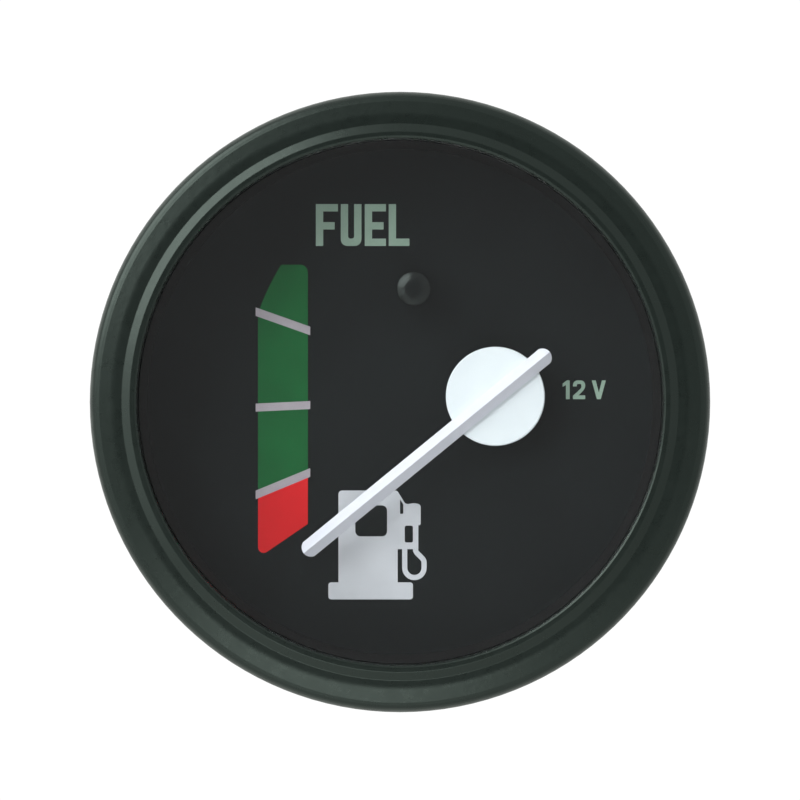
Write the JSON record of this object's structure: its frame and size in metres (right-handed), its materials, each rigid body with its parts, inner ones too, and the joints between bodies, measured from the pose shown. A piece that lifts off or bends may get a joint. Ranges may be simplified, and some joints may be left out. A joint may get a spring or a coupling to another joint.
{
  "type": "fuel gauge",
  "caption": "Round dashboard fuel gauge: white pointer over a green and red upright scale, black bezel, moving iron movement, rear clamp and lamp.",
  "frame": {"origin": "centre of the bezel's rear face, which seats on the front of the dashboard panel", "axes": "+Y points backwards into the dashboard, the dial faces -Y, +Z is at 12 o'clock, +X is to the right as the driver sees it"},
  "size_m": [0.065, 0.059, 0.065],
  "materials": {
    "bezel_enamel": "black stoving enamel, satin",
    "clear_glass": "clear, polished",
    "black_rubber": "matt",
    "plated_steel": "zinc plated, yellow passivated",
    "black_plastic": "matt",
    "dial_paint": "matt charcoal",
    "green_print": "matt screen print",
    "red_print": "matt screen print",
    "grey_print": "matt screen print",
    "bright_steel": "bright zinc plated",
    "soft_iron": "annealed, oiled",
    "nylon": "natural",
    "copper": "enamelled copper",
    "lead_sleeve": "satin",
    "brass": "turned, lightly tarnished",
    "white_plastic": "satin white",
    "white_aluminium": "satin white enamel",
    "phenolic": "dark brown, satin"
  },
  "bodies": {
    "instrument": {"bezel": "bezel_enamel", "glass": "clear_glass", "glass_seal": "black_rubber", "case": "plated_steel", "spacer_ring": "black_plastic", "dial": "dial_paint", "scale_green": "green_print", "scale_red": "red_print", "scale_marks": "grey_print", "stop_pin": "bright_steel", "stop_sleeve": "black_rubber", "movement_plate": "bright_steel", "empty_yoke": "soft_iron", "full_yoke": "soft_iron", "yoke_rivets": "bright_steel", "empty_bobbin": "nylon", "empty_winding": "copper", "empty_core": "soft_iron", "full_bobbin": "nylon", "full_winding": "copper", "full_core": "soft_iron", "coil_link": "lead_sleeve", "front_bush": "brass", "rear_bush": "brass", "bridge_pillars": "brass", "rear_bridge": "bright_steel", "bridge_screws": "bright_steel", "feed_terminal": "brass", "sender_terminal": "brass", "earth_terminal": "brass", "outer_insulators": "phenolic", "inner_insulators": "phenolic", "terminal_rivets": "brass", "feed_lead": "lead_sleeve", "sender_lead": "lead_sleeve", "clamp_stud": "bright_steel", "stud_nut": "bright_steel"},
    "rotor": {"spindle": "bright_steel", "armature": "soft_iron", "damping_disc": "copper", "balance_arm": "brass", "balance_weight": "brass", "pointer_boss": "brass", "pointer_disc": "white_plastic", "pointer_blade": "white_aluminium"},
    "clamp": {"clamp_bracket": "plated_steel", "clamp_washer": "bright_steel", "clamp_nut": "brass"},
    "lamp": {"lamp_holder": "brass", "lamp_insulator": "phenolic", "lamp_contact": "brass", "bulb_cap": "bright_steel", "bulb_glass": "clear_glass"}
  },
  "joints": [
    {"name": "pointer_swing", "type": "hinge", "parent": "instrument", "child": "rotor", "pos_m": [0.0101, 0.016, 0.0006], "axis": [0, 1, 0], "range_deg": [0, 80.5]},
    {"name": "clamp_off", "type": "slide", "parent": "instrument", "child": "clamp", "axis": [0, 1, 0], "range_m": [0, 0.05]},
    {"name": "lamp_out", "type": "slide", "parent": "instrument", "child": "lamp", "axis": [0, 1, 0], "range_m": [0, 0.03]}
  ]
}
